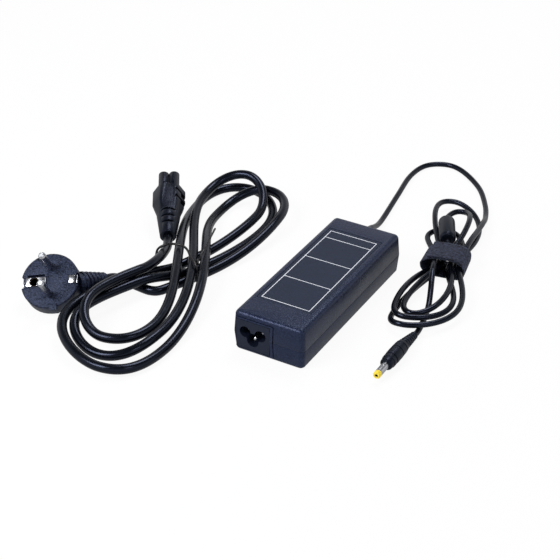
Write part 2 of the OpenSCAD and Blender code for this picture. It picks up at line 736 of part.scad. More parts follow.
tie_path = [[-118.6, -13, 1.2], [-118.3, -12.2, 7], [-117.4, -10.6, 13.5], [-113, -8, 16.9], [-108, -4.5, 17.2],
  [-102, -3.8, 17.2], [-96, -7, 17.4], [-89, -13.5, 16.8], [-83.5, -17, 15.6], [-81.3, -18.3, 12], [-81.2, -18.4, 6],
  [-81.2, -18.4, 1.2]];
module twist_tie() {
  color([0.05, 0.05, 0.05]) tube(through(tie_path, 3), 1.6, 6);
}

bottom_cover();
top_cover();
rating_label();
inlet_body();
inlet_power_pins();
inlet_earth_pin();
circuit_board();
input_fuse();
common_mode_choke();
x_capacitor();
bridge_rectifier();
bulk_capacitor();
primary_heat_sink();
power_transistor();
transformer_core();
transformer_winding();
secondary_heat_sink();
output_rectifier();
output_capacitors();
y_capacitor();
control_chip();
optocoupler();
insulation_sheet();
shield_plate();
output_grommet();
output_cord_run();
output_cord_hank();
output_cord_tail();
ferrite_sleeve();
ferrite_core();
hook_and_loop_strap();
output_plug_moulding();
output_plug_barrel();
output_plug_tip();
output_plug_centre();
mains_plug_body();
mains_plug_pins();
mains_plug_earth_plate();
mains_plug_earth_sleeve();
mains_cord_plug_end();
mains_cord_hank();
mains_cord_connector_end();
connector_body();
connector_contacts();
twist_tie();
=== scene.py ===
"""Laptop power adapter: a moulded brick with an appliance inlet, an output lead held by a hook-and-loop
strap, and a mains lead folded in loops and held by a wire tie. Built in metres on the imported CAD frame."""
import math

import bmesh
import bpy
from mathutils import Matrix, Vector


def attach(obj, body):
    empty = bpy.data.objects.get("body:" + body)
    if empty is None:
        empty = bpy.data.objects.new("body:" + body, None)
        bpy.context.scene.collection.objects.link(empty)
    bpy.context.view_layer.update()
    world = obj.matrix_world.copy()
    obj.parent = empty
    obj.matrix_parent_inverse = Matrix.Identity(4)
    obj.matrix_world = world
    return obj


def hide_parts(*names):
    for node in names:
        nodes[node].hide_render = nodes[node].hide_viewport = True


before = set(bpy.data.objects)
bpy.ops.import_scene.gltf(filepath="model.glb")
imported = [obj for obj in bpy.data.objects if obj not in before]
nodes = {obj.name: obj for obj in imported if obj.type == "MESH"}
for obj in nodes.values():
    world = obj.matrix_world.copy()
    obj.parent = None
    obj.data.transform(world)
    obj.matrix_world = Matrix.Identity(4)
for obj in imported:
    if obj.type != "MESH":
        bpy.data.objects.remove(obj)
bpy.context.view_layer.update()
bpy.ops.object.select_all(action="DESELECT")
MM = 0.001

# ---------------------------------------------------------------- camera
# A product camera on a tripod, about 0.97 m away and 33 degrees above the table, turned 30 degrees
# from the long axis of the brick. A 96 mm lens on a 36 mm sensor keeps the lines nearly parallel.
camera_at = Vector((378.004, -709.085, 538.143)) * MM
turn, tilt = math.radians(29.884), math.radians(32.788)
sensor_w, focal_px, frame_px = 36, 1500, 560
toward = Vector((math.sin(turn) * math.cos(tilt), -math.cos(turn) * math.cos(tilt), math.sin(tilt)))
side = Vector((math.cos(turn), math.sin(turn), 0))
above = toward.cross(side)
lens = bpy.data.cameras.new("camera")
lens.sensor_width = sensor_w
lens.lens = sensor_w * focal_px / frame_px
camera = bpy.data.objects.new("camera", lens)
bpy.context.scene.collection.objects.link(camera)
camera.matrix_world = Matrix((side, above, toward)).transposed().to_4x4()
camera.location = camera_at
bpy.context.scene.camera = camera


# ---------------------------------------------------------------- mains cord
# A 6.4 mm round flexible cord, three copper cores in a glossy black PVC jacket, extruded in one length
# of 1.66 m. It is folded in three upper and three lower loops that cross where the wire tie holds them.
mains_d = 0.0064
mains_mid, mains_slant = (-94, -7), math.radians(4)

# Each of its six arcs has a reach from the crossing, half a width, a lean and a bow, in mm. The seven
# places are where the cord goes through the crossing, before, between and after the arcs.
mains_reach = [106, 123, 105, 110, 113, 100]
mains_half = [23, 30.5, 24, 28, 25.5, 24]
mains_lean = [5, 4, -11, -4, -14, -7]
mains_bow = [-2, -8, -2, -5, 0, -1]
mains_place = [11, 11, -9.5, 2, 3, -9, -4]

# Heights of the cord's centre, arc by arc: in the crossing, on the way out, at the tip, on the way back.
mains_heights = ([3.2, 12.5, 3.2, 11.5, 3.2, 12.3, 15.5], [11, 3.2, 8, 8, 3.2, 9],
                 [11, 5, 20, 3.2, 4, 9], [3.2, 11, 12, 11, 3.2, 18])


def ease(t):
    """Smooth step from 0 to 1."""
    return t * t * (3 - 2 * t)


def held(values, i):
    """An arc's own value of six, or its neighbour's past the two ends."""
    return values[1] if i < 0 else values[4] if i > 5 else values[i]


def level(angle, middle, outward, tip, back, low, late=()):
    """Height at an angle, eased between values 45 degrees apart. Late arcs keep their last one longer."""
    k = math.floor(angle / 45)
    t = angle / 45 - k

    def at(n):
        arc, stage = n // 4, n % 4
        heights = (middle, outward, tip, back)[stage]
        return low if arc < 0 else heights[min(arc, len(heights) - 1)]

    if k % 4 == 3 and k // 4 in late:
        t = min(max((t - 0.55) / 0.45, 0), 1)
    g = ease(t)
    return at(k) * (1 - g) + at(k + 1) * g


def arc_terms(angle):
    """The arc at an angle, its nearer neighbour, the nearer crossing, sine, cosine and the arc's share."""
    arc = math.floor(angle / 180)
    first_half = angle / 180 - arc < 0.5
    other = arc - 1 if first_half else arc + 1
    crossing = max(arc if first_half else arc + 1, 0)
    s, c = math.sin(math.radians(angle)), math.cos(math.radians(angle))
    r = abs(s)
    return arc, other, crossing, s, c, 0.5 + 0.5 * r ** 3 * (10 - 15 * r + 6 * r * r)


def slanted(mid, slant, across, along, z):
    """A point given across and along a slanted middle line, in mm."""
    return Vector((mid[0] + across * math.cos(slant) - along * math.sin(slant),
                   mid[1] + across * math.sin(slant) + along * math.cos(slant), z))


def mains_point(angle):
    """Centre of the mains cord at an angle along its loops, in mm."""
    arc, other, crossing, s, c, share = arc_terms(angle)
    reach, half, bow = (held(values, arc) * share + held(values, other) * (1 - share)
                        for values in (mains_reach, mains_half, mains_bow))
    twice = 2 * s * c
    across = (half * twice + held(mains_lean, arc) * s * s + bow * twice ** 2
              + mains_place[min(crossing, 6)] * c * c)
    return slanted(mains_mid, mains_slant, across, reach * s, level(angle, *mains_heights, 3.2, (1, 3)))


def wound(point_at, start, end, steps):
    """Points of wound loops at even angles between two angles in degrees."""
    return [point_at(start + (end - start) * i / steps) for i in range(steps + 1)]


def through(points, n):
    """Points of one smooth curve through the listed ones, n to a span."""
    p = [Vector(q) for q in points]
    out = []
    for i in range(len(p) - 1):
        a, b, c, d = p[max(i - 1, 0)], p[i], p[i + 1], p[min(i + 2, len(p) - 1)]
        for k in range(n):
            t = k / n
            out.append(0.5 * (2 * b + (c - a) * t + (2 * a - 5 * b + 4 * c - d) * t * t
                              + (3 * b - a - 3 * c + d) * t ** 3))
    return out + [p[-1]]


mains_loops = wound(mains_point, -12, 1062, 572)
first, last = mains_loops[0], mains_loops[-1]
mains_start = through([(-132.2, -54.4, 8.8), (-130.9, -50.7, 8), (-129, -45.5, 6.5), (-124.8, -42, 4.6),
                       (-118, -41.4, 3.5), (-110, -42, 3.25), (-103, -42.2, 3.24), (-97.8, -39.6, 3.23),
                       first + Vector((-0.7, -1.8, 0.01)), first], 4)
mains_finish = through([last, (-109.7, -36, 15.6), (-109.4, -28, 14.8), (-110.8, -18, 13.4),
                        (-113.6, -9, 11.5), (-117.4, 0, 9.5), (-121, 6.7, 8.9), (-124, 11.5, 9.8),
                        (-125.5, 13.9, 10.5)], 5)
mains_line = mains_start[:-1] + mains_loops + mains_finish[1:]


def cord_piece(name, line, diameter):
    """A round jacket, of a diameter in metres, along points in mm, as one open spline."""
    curve = bpy.data.curves.new(name, "CURVE")
    curve.dimensions = "3D"
    curve.bevel_depth = diameter / 2
    curve.bevel_resolution = 6
    curve.use_fill_caps = True
    spline = curve.splines.new("POLY")
    spline.points.add(len(line) - 1)
    for point, p in zip(spline.points, line):
        point.co = (p.x * MM, p.y * MM, p.z * MM, 1)
    spline.use_smooth = True
    piece = bpy.data.objects.new(name, curve)
    bpy.context.scene.collection.objects.link(piece)
    return piece


mains_cord = cord_piece("mains_cord_jacket", mains_line, mains_d)


def linear(code):
    """An sRGB hex colour as linear red, green, blue and alpha."""
    parts = [int(code[i:i + 2], 16) / 255 for i in (1, 3, 5)]
    return tuple(p / 12.92 if p <= 0.04045 else ((p + 0.055) / 1.055) ** 2.4 for p in parts) + (1.0,)


def add_node(tree, kind, settings, **sockets):
    """Adds a node, sets its own settings, and sets or links its sockets, named with _ for a space."""
    node = tree.nodes.new(kind)
    for key, value in settings.items():
        setattr(node, key, value)
    for key, value in sockets.items():
        socket = node.inputs[key.replace("_", " ")]
        if isinstance(value, bpy.types.NodeSocket):
            tree.links.new(value, socket)
        else:
            socket.default_value = value
    return node


def blank_material(name):
    """A new material with an empty node tree, and that tree."""
    material = bpy.data.materials.new(name)
    material.use_nodes = True
    material.node_tree.nodes.clear()
    return material, material.node_tree


def paint(names, material):
    """Gives CAD nodes or pieces one material all over."""
    for name in names:
        piece = nodes.get(name) or bpy.data.objects[name]
        piece.data.materials.clear()
        piece.data.materials.append(material)


# Flexible PVC: blue-black, drawn through a die, so it is smooth and glossy with long thin highlights. The
# twisted cores give it a slight waviness, about 12 mm long, and handling dulls it here and there.
pvc, tree = blank_material("extruded_flexible_pvc")
place = add_node(tree, "ShaderNodeTexCoord", {})
waves = add_node(tree, "ShaderNodeTexNoise", {}, Vector=place.outputs["Object"], Scale=80.0, Detail=1.0)
dull = add_node(tree, "ShaderNodeMapRange", {}, Value=waves.outputs["Fac"], From_Min=0.3, From_Max=0.7,
                To_Min=0.2, To_Max=0.28)
tint = add_node(tree, "ShaderNodeValToRGB", {}, Fac=waves.outputs["Fac"])
tint.color_ramp.elements[0].color = linear("#04050a")
tint.color_ramp.elements[1].color = linear("#0a0c13")
dents = add_node(tree, "ShaderNodeBump", {}, Height=waves.outputs["Fac"], Strength=0.03, Distance=0.0008)
skin = add_node(tree, "ShaderNodeBsdfPrincipled", {}, Base_Color=tint.outputs["Color"],
                Roughness=dull.outputs["Result"], Normal=dents.outputs["Normal"],
                Specular_Tint=linear("#b9c6ee"), IOR=1.44)
add_node(tree, "ShaderNodeOutputMaterial", {}, Surface=skin.outputs["BSDF"])
paint(["mains_cord_jacket"], pvc)
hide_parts("mains_cord_plug_end", "mains_cord_hank", "mains_cord_connector_end")
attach(mains_cord, "mains_lead")

# ---------------------------------------------------------------- output cord
# A 3.8 mm two-core cord, moulded into the brick's grommet and 1.35 m long in one piece. It runs round
# behind the brick, is folded through the strap, passes the ferrite and ends in the barrel plug.
output_d, exit_x, exit_z = 0.0038, -8.5, 13
output_mid, output_slant = (51, 80), math.radians(10)

# Its six arcs and their crossings through the strap, given as those of the mains cord are.
output_reach = [79.5, 83, 72, 47, 66.5, 64]
output_half = [16.8, 15.4, 15.2, 9, 10.6, -8.5]
output_lean = [-6.6, -14.2, -7.2, -12, -4, -4]
output_bow = [3.8, 0.8, 4.2, -2.8, 0.6, -1]
output_place = [9.6, -1.6, 2.8, -6.4, 4.8, -0.6]
output_heights = ([8.2, 3.2, 3.2, 3.4, 8.4, 8], [6.4, 7.2, 6, 2, 9, 13],
                  [6.2, 5.4, 7.2, 2.2, 7, 9.6], [2, 2.4, 7.2, 5.4, 6.2, 10])


def output_point(angle):
    """Centre of the output cord at an angle along its loops, in mm."""
    arc, other, crossing, s, c, share = arc_terms(angle)
    reach = held(output_reach, arc) * share + held(output_reach, other) * (1 - share)
    i = max(arc, 0)
    across = (2 * output_half[i] * c * s * s / math.sqrt(s * s + 0.03) + output_lean[i] * s * s
              + output_bow[i] * (2 * s * c) ** 2 + output_place[min(crossing, 5)] * c * c)
    return slanted(output_mid, output_slant, across, -reach * s, level(angle, *output_heights, 8.2))


output_loops = wound(output_point, -6, 1026, 552)
output_run = through([(exit_x, 62, exit_z), (exit_x, 70, exit_z), (exit_x, 80, 12.8), (-9.2, 89, 10.5),
                      (-10.5, 98, 6.5), (-12, 108, 3.2), (-14.2, 122, 2.05), (-19.4, 154, 2.05),
                      (-23.8, 184, 2.05), (-20.5, 204, 2.05), (-7.4, 213, 2.05), (7.6, 209, 2.05),
                      (27.6, 192, 2.05), (41.5, 171, 2.1), (49, 154, 3), (52.5, 141, 6), (55, 125, 8.2),
                      (56.8, 111, 10.2), (58.5, 99, 10.4), output_loops[0]], 8)
output_tail = through([output_loops[-1], (30.7, 127.6, 9.9), (31.6, 125.2, 9.9), (33.3, 121.6, 9.9),
                       (38, 112, 9.9), (42.4, 103.6, 9.9), (43.3, 101.4, 9.8), (44.3, 97.6, 9.2),
                       (44.6, 91, 8.7), (45.5, 82, 9), (47, 74, 10.3), (48.8, 68, 12.4), (52, 59, 12.6),
                       (55.4, 50, 9.8), (58.5, 42, 6.4), (62, 32, 3), (65, 20, 2.05), (67, 10, 2.05),
                       (68, 3, 2.1), (68.3, -2.2, 3.1), (68.3, -6, 3.9)], 7)
output_line = output_run[:-1] + output_loops + output_tail[1:]
output_cord = cord_piece("output_cord_jacket", output_line, output_d)
paint(["output_cord_jacket"], pvc)
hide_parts("output_cord_run", "output_cord_hank", "output_cord_tail")
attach(output_cord, "adapter")

# ---------------------------------------------------------------- case
# Two injection-moulded ABS covers, 133 x 50 mm, with walls 2 to 3 mm thick, that meet in a fine V groove
# 13 mm above the table. The upper one has a shallow recess for its label. Both are open at the inlet.
def edit(piece, kind="EDGE"):
    """Enters edit mode on one piece with nothing selected, and returns its editable mesh."""
    bpy.ops.object.select_all(action="DESELECT")
    bpy.context.view_layer.objects.active = piece
    piece.select_set(True)
    bpy.ops.object.mode_set(mode="EDIT")
    bpy.ops.mesh.select_mode(type=kind)
    bpy.ops.mesh.select_all(action="DESELECT")
    return bmesh.from_edit_mesh(piece.data)


def leave(piece):
    """Leaves edit mode and clears the selection."""
    bpy.ops.object.mode_set(mode="OBJECT")
    bpy.ops.object.select_all(action="DESELECT")


def round_edges(piece, wanted, radius, segments):
    """Bevels the edges whose two ends, in mm, pass a test."""
    mesh = edit(piece)
    for edge in mesh.edges:
        if wanted(edge.verts[0].co / MM, edge.verts[1].co / MM):
            edge.select = True
    bmesh.update_edit_mesh(piece.data)
    bpy.ops.mesh.bevel(offset=radius * MM, offset_type="OFFSET", segments=segments, affect="EDGES")
    leave(piece)


def block(name, low, high):
    """A box between two corners in mm, with its place in its mesh."""
    low, high = Vector(low) * MM, Vector(high) * MM
    bpy.ops.mesh.primitive_cube_add(size=1, location=(low + high) / 2)
    piece = bpy.context.object
    piece.name = name
    piece.scale = high - low
    bpy.ops.object.transform_apply(location=True, rotation=True, scale=True)
    bpy.ops.object.select_all(action="DESELECT")
    return piece


def rod(name, start, end, radius, sides=48):
    """A round bar between two points in mm, with its place in its mesh."""
    a, b = Vector(start) * MM, Vector(end) * MM
    bpy.ops.mesh.primitive_cylinder_add(vertices=sides, radius=radius * MM, depth=(b - a).length,
                                        location=(a + b) / 2,
                                        rotation=(b - a).to_track_quat("Z", "Y").to_euler())
    piece = bpy.context.object
    piece.name = name
    bpy.ops.object.transform_apply(location=True, rotation=True, scale=True)
    bpy.ops.object.select_all(action="DESELECT")
    return piece


def apply_modifier(piece, kind, **settings):
    """Adds a modifier and applies it at once."""
    modifier = piece.modifiers.new(kind.title(), kind)
    for key, value in settings.items():
        setattr(modifier, key, value)
    bpy.context.view_layer.objects.active = piece
    bpy.ops.object.modifier_apply(modifier=modifier.name)


def cut(piece, *cutters):
    """Takes each cutter out of a piece, and deletes the cutter."""
    for cutter in cutters:
        apply_modifier(piece, "BOOLEAN", operation="DIFFERENCE", object=cutter, solver="EXACT")
        bpy.data.objects.remove(cutter)


def joined(name, pieces):
    """Joins pieces into the first one, under a new name."""
    bpy.ops.object.select_all(action="DESELECT")
    for piece in pieces:
        piece.select_set(True)
    bpy.context.view_layer.objects.active = pieces[0]
    bpy.ops.object.join()
    pieces[0].name = name
    bpy.ops.object.select_all(action="DESELECT")
    return pieces[0]


def smooth(piece, degrees=35):
    """Shades a piece smooth, with a crease where faces meet more sharply than the angle."""
    bpy.ops.object.select_all(action="DESELECT")
    bpy.context.view_layer.objects.active = piece
    piece.select_set(True)
    bpy.ops.object.shade_smooth_by_angle(angle=math.radians(degrees))
    bpy.ops.object.select_all(action="DESELECT")


case_w, case_l, joint_z, case_h = 50.0, 133.0, 13.0, 28.0
corner_r, joint_r = 3.2, 0.35
outside_y = -70
inlet_x, inlet_z, inlet_back = (-23.4, 1.2), (1.9, 23.1), -48.6
groove_x, groove_z, groove_back = (3.2, 3.9), (24.2, 24.9), -65.2
exit_hole_r, post_r = 4.2, 2.5


def cover(name, low_z, high_z, draft, far_z, far_round):
    """One moulded cover: a block that tapers to its far side, with rounded corners and rims."""
    piece = block(name, (-case_w / 2, -case_l / 2, low_z), (case_w / 2, case_l / 2, high_z))
    mesh = edit(piece, "FACE")
    for face in mesh.faces:
        face.select = all(abs(v.co.z / MM - far_z) < 0.01 for v in face.verts)
    bmesh.update_edit_mesh(piece.data)
    bpy.ops.transform.resize(value=(1 - 2 * draft / case_w, 1 - 2 * draft / case_l, 1),
                             center_override=(0, 0, far_z * MM))
    leave(piece)
    round_edges(piece, lambda p, q: abs(p.z - q.z) > 5, corner_r, 7)
    round_edges(piece, lambda p, q: abs(p.z - far_z) < 0.01 and abs(q.z - far_z) < 0.01, far_round, 5)
    round_edges(piece, lambda p, q: abs(p.z - joint_z) < 0.01 and abs(q.z - joint_z) < 0.01, joint_r, 2)
    return piece


def opening_cutters():
    """The inlet's opening, the fine groove round two of its sides, and the hole for the grommet."""
    return [block("cutter", (inlet_x[0], outside_y, inlet_z[0]), (inlet_x[1], inlet_back, inlet_z[1])),
            block("cutter", (groove_x[0], outside_y, 2), (groove_x[1], groove_back, groove_z[1])),
            block("cutter", (-26, outside_y, groove_z[0]), (groove_x[1], groove_back, groove_z[1])),
            rod("cutter", (exit_x, 60, exit_z), (exit_x, 70, exit_z), exit_hole_r)]


label_mid, label_w, label_l, label_d = (-0.4, 1.9), 39.0, 96.0, 0.4
upper = cover("case_upper_cover", joint_z, case_h, 0.9, case_h, 2.8)
recess = block("cutter", (label_mid[0] - label_w / 2, label_mid[1] - label_l / 2, case_h - label_d),
               (label_mid[0] + label_w / 2, label_mid[1] + label_l / 2, case_h + 1))
hollow = block("cutter", (-21.7, -63.2, joint_z - 1), (21.7, 63.2, 26))
cut(upper, recess, hollow, *opening_cutters())
lower = cover("case_lower_cover", 0, joint_z, 1.0, 0, 1.5)
hollow = block("cutter", (-22.2, -63.8, 2), (22.2, 63.8, joint_z + 1))
cut(lower, hollow, *opening_cutters())
posts = [rod("post", (x, y, 1.9), (x, y, 4.5), post_r, 24) for x in (-17, 17) for y in (-40, 0, 50)]
lower = joined("case_lower_cover", [lower] + posts)
for piece, node in ((upper, "top_cover"), (lower, "bottom_cover")):
    smooth(piece)
    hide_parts(node)
    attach(piece, "adapter")

# ABS: dyed blue-black and moulded against a spark-eroded tool, so it is satin with an even pebbled
# grain. The grain is drawn 0.9 mm coarse, where the real one is 0.2 mm, so that it shows.
abs_case, tree = blank_material("spark_textured_abs")
place = add_node(tree, "ShaderNodeTexCoord", {})
grain = add_node(tree, "ShaderNodeTexNoise", {}, Vector=place.outputs["Object"], Scale=1100.0, Detail=2.0)
patches = add_node(tree, "ShaderNodeTexNoise", {}, Vector=place.outputs["Object"], Scale=45.0, Detail=4.0)
rubbed = add_node(tree, "ShaderNodeMapRange", {}, Value=patches.outputs["Fac"], From_Min=0.35, From_Max=0.65,
                  To_Min=0.27, To_Max=0.34)
speckle = add_node(tree, "ShaderNodeValToRGB", {}, Fac=grain.outputs["Fac"])
speckle.color_ramp.elements[0].position = 0.3
speckle.color_ramp.elements[0].color = linear("#141a2a")
speckle.color_ramp.elements[1].position = 0.7
speckle.color_ramp.elements[1].color = linear("#272f48")
pebbles = add_node(tree, "ShaderNodeBump", {}, Height=grain.outputs["Fac"], Strength=0.38, Distance=0.0004)
skin = add_node(tree, "ShaderNodeBsdfPrincipled", {}, Base_Color=speckle.outputs["Color"],
                Roughness=rubbed.outputs["Result"], Normal=pebbles.outputs["Normal"],
                Specular_Tint=linear("#aebbe8"), IOR=1.46)
add_node(tree, "ShaderNodeOutputMaterial", {}, Surface=skin.outputs["BSDF"])
paint(["case_upper_cover", "case_lower_cover"], abs_case)

# ---------------------------------------------------------------- label
# A thin printed polyester film glued in the recess. Its print is a plain frame with three dividing
# lines, and there is no lettering on it.
def drifting_finish(name, dark, light, scale, detail=3.0, bump=0.1, height=0.0003, **surface):
    """A finish whose colour drifts between two tones, with a bump of the same grain."""
    material, tree = blank_material(name)
    place = add_node(tree, "ShaderNodeTexCoord", {})
    drift = add_node(tree, "ShaderNodeTexNoise", {}, Vector=place.outputs["Object"], Scale=scale,
                     Detail=detail)
    shade = add_node(tree, "ShaderNodeValToRGB", {}, Fac=drift.outputs["Fac"])
    shade.color_ramp.elements[0].color = linear(dark)
    shade.color_ramp.elements[1].color = linear(light)
    lumps = add_node(tree, "ShaderNodeBump", {}, Height=drift.outputs["Fac"], Strength=bump, Distance=height)
    skin = add_node(tree, "ShaderNodeBsdfPrincipled", {}, Base_Color=shade.outputs["Color"],
                    Normal=lumps.outputs["Normal"], **surface)
    add_node(tree, "ShaderNodeOutputMaterial", {}, Surface=skin.outputs["BSDF"])
    return material


# Polyester film: dyed blue-black and matt-coated, flatter and a little duller than the case round it.
film = drifting_finish("matt_polyester_film", "#151b2c", "#1d263c", 300.0, 4.0, 0.08,
                       Roughness=0.36, Specular_Tint=linear("#b3bfe6"), IOR=1.45)
paint(["rating_label"], film)

ink_z, ink_d, line_w = 27.92, 0.04, 0.55
frame_x, frame_y, divider_y = (-17.4, 16.6), (-44.2, 46.9), (-16.2, 11.1, 38.0)
bpy.ops.mesh.primitive_plane_add(size=1, location=(sum(frame_x) / 2 * MM, sum(frame_y) / 2 * MM, ink_z * MM))
print_lines = bpy.context.object
print_lines.scale = ((frame_x[1] - frame_x[0]) * MM, (frame_y[1] - frame_y[0]) * MM, 1)
bpy.ops.object.transform_apply(location=True, rotation=True, scale=True)
edit(print_lines, "FACE")
bpy.ops.mesh.select_all(action="SELECT")
bpy.ops.mesh.inset(thickness=line_w * MM)
bpy.ops.mesh.delete(type="FACE")
leave(print_lines)
apply_modifier(print_lines, "SOLIDIFY", thickness=ink_d * MM, offset=0.0)
dividers = [block("divider", (frame_x[0] + line_w, y - line_w / 2, ink_z - ink_d / 2),
                  (frame_x[1] - line_w, y + line_w / 2, ink_z + ink_d / 2)) for y in divider_y]
print_lines = joined("label_printed_lines", [print_lines] + dividers)

# Screen ink: an opaque off-white, matt, and a little uneven where it went on thinner.
ink, tree = blank_material("white_screen_ink")
place = add_node(tree, "ShaderNodeTexCoord", {})
worn = add_node(tree, "ShaderNodeTexNoise", {}, Vector=place.outputs["Object"], Scale=700.0, Detail=2.0)
shade = add_node(tree, "ShaderNodeValToRGB", {}, Fac=worn.outputs["Fac"])
shade.color_ramp.elements[0].color = linear("#ccd1dd")
shade.color_ramp.elements[1].color = linear("#f0f2f7")
skin = add_node(tree, "ShaderNodeBsdfPrincipled", {}, Base_Color=shade.outputs["Color"], Roughness=0.55)
add_node(tree, "ShaderNodeOutputMaterial", {}, Surface=skin.outputs["BSDF"])
paint(["label_printed_lines"], ink)
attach(print_lines, "adapter")


# ---------------------------------------------------------------- inlet
# A three-pole appliance inlet with three plated round pins. Its face is about as glossy as the case, and
# its recess is deep enough to look black.

# Polyamide: moulded blue-black and satin, with a faint grain. The board's black packages share it.
polyamide = drifting_finish("moulded_black_polyamide", "#10141f", "#1c2234", 500.0, 3.0, 0.15, 0.0002,
                            Roughness=0.32, Specular_Tint=linear("#b3bfe6"), IOR=1.53)
paint(["inlet_body", "input_fuse", "bridge_rectifier", "power_transistor", "output_rectifier",
       "control_chip"], polyamide)

# Nickel-plated brass: bright and silvery, with fine marks from turning and handling.
nickel, tree = blank_material("bright_nickel_plate")
place = add_node(tree, "ShaderNodeTexCoord", {})
marks = add_node(tree, "ShaderNodeTexNoise", {}, Vector=place.outputs["Object"], Scale=1500.0, Detail=3.0)
dull = add_node(tree, "ShaderNodeMapRange", {}, Value=marks.outputs["Fac"], From_Min=0.3, From_Max=0.7,
                To_Min=0.18, To_Max=0.3)
shade = add_node(tree, "ShaderNodeValToRGB", {}, Fac=marks.outputs["Fac"])
shade.color_ramp.elements[0].color = linear("#b0b2b9")
shade.color_ramp.elements[1].color = linear("#ced0d6")
skin = add_node(tree, "ShaderNodeBsdfPrincipled", {}, Base_Color=shade.outputs["Color"], Metallic=1.0,
                Roughness=dull.outputs["Result"])
add_node(tree, "ShaderNodeOutputMaterial", {}, Surface=skin.outputs["BSDF"])
paint(["inlet_power_pins", "inlet_earth_pin", "mains_plug_pins", "output_plug_barrel", "output_plug_centre",
       "connector_contacts"], nickel)

# ---------------------------------------------------------------- inside the case
# The board and what stands on it can be seen only with the case open, and keep their CAD shapes. Each
# has the usual colour of its kind: green laminate, copper, epoxy, sleeves, ferrite, aluminium and paper.
paint(["circuit_board"],
      drifting_finish("solder_masked_laminate", "#123f22", "#1a5530", 400.0, Roughness=0.35))
paint(["common_mode_choke", "transformer_winding"],
      drifting_finish("enamelled_copper", "#8a4a1e", "#b9692e", 900.0, Roughness=0.3, Metallic=0.6))
paint(["x_capacitor"],
      drifting_finish("yellow_epoxy_box", "#b98a12", "#d8a820", 300.0, Roughness=0.35))
paint(["bulk_capacitor", "output_capacitors", "y_capacitor"],
      drifting_finish("shrunk_pvc_sleeve", "#152a5c", "#1e3a78", 250.0, Roughness=0.28))
paint(["transformer_core", "ferrite_core"],
      drifting_finish("sintered_ferrite", "#2b2b2e", "#3a3a3e", 800.0, Roughness=0.6))
paint(["primary_heat_sink", "secondary_heat_sink", "shield_plate"],
      drifting_finish("rolled_aluminium", "#a9abae", "#c4c6c8", 600.0, Roughness=0.35, Metallic=1.0))
paint(["optocoupler", "insulation_sheet"],
      drifting_finish("white_fish_paper", "#c9c6ba", "#dcd9cf", 350.0, Roughness=0.6))


# ---------------------------------------------------------------- grommet
# A ribbed bend relief of soft PVC, moulded over the output cord and held in the far wall of the case.
# Its five ribs shrink from 8.4 to 6.2 mm across in 12 mm.
def turned(name, start, direction, profile, sides=48):
    """A disc extruded ring by ring: pairs of distance along an axis and radius, in mm."""
    bpy.ops.object.select_all(action="DESELECT")
    bpy.ops.mesh.primitive_circle_add(vertices=sides, radius=profile[0][1] * MM, fill_type="NGON")
    piece = bpy.context.object
    piece.name = name
    edit(piece, "FACE")
    bpy.ops.mesh.select_all(action="SELECT")
    for (x, r), (next_x, next_r) in zip(profile, profile[1:]):
        bpy.ops.mesh.extrude_region_move(TRANSFORM_OT_translate={"value": (0, 0, (next_x - x) * MM)})
        bpy.ops.transform.resize(value=(next_r / r, next_r / r, 1), center_override=(0, 0, 0))
    bpy.ops.mesh.select_all(action="SELECT")
    bpy.ops.mesh.normals_make_consistent(inside=False)
    leave(piece)
    axis = Vector(direction).to_track_quat("Z", "Y").to_matrix().to_4x4()
    piece.data.transform(Matrix.Translation(Vector(start) * MM) @ axis)
    smooth(piece, 40)
    return piece


def ribs(first, pitch, count, radius, shrink, depth):
    """Profile of rounded ribs with grooves between them, along a bend relief."""
    out = []
    for i in range(count):
        x, r = first + pitch * i, radius - shrink * i
        out += [(x, r - depth), (x + 0.12 * pitch, r - 0.15), (x + 0.3 * pitch, r), (x + 0.52 * pitch, r),
                (x + 0.68 * pitch, r - 0.15), (x + 0.78 * pitch, r - depth)]
    return out


grommet = turned("output_bend_relief", (exit_x, 64.8, exit_z), (0, 1, 0),
                 [(0, 4.3), (2.2, 4.3)] + ribs(2.5, 2.45, 5, 4.2, 0.28, 0.7) + [(15, 2.6), (15.2, 2.3)])

# Soft PVC, moulded over: blue-black and satin, duller than the extruded cord, with a fine uneven skin.
soft_pvc = drifting_finish("overmoulded_soft_pvc", "#06080f", "#0f121d", 700.0, 3.0, 0.2,
                           Roughness=0.36, Specular_Tint=linear("#b9c6ee"), IOR=1.4)
paint(["output_bend_relief"], soft_pvc)
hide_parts("output_grommet")
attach(grommet, "adapter")

# ---------------------------------------------------------------- ferrite sleeve
# A sleeve of soft PVC, 26 mm long and 11.5 mm across, moulded over a ferrite core that the output cord
# runs through. Its ends step down to the cord.
ferrite_a, ferrite_b = Vector((31.8, 125, 9.9)), Vector((43.2, 101.6, 9.9))
sleeve_l = (ferrite_b - ferrite_a).length
sleeve_rise = [(0, 2.4), (0.05, 3.2), (0.3, 4.7), (1.1, 5.1), (1.8, 5.6), (2.8, 5.75)]
sleeve_fall = [(2.8, 5.75), (1.8, 5.6), (1.1, 5.1), (0.3, 4.7), (0.05, 3.4), (0, 2.4)]
sleeve = turned("ferrite_moulding", ferrite_a, ferrite_b - ferrite_a,
                sleeve_rise + [(sleeve_l - back, radius) for back, radius in sleeve_fall])
paint(["ferrite_moulding"], soft_pvc)
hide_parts("ferrite_sleeve")
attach(sleeve, "adapter")

# ---------------------------------------------------------------- strap
# A hook-and-loop strap, 20 mm wide, wound one and a quarter times round the output cord and pressed on
# itself. Its outer end lies on top at the left, its loop side is fuzzy, and it bulges at the left.
strap_mid, strap_slant = (52, 80.6), math.radians(10)
tape_w, tape_t, tape_start, tape_turns = 20, 0.95, 0.36, 1.28
hank_half_w, hank_half_h, hank_mid_z = 12.9, 6.75, 7.5
overlap_lift, end_lift, side_bulge = 1.25, 0.5, 1.9
strap_steps, strap_rows = 140, 12


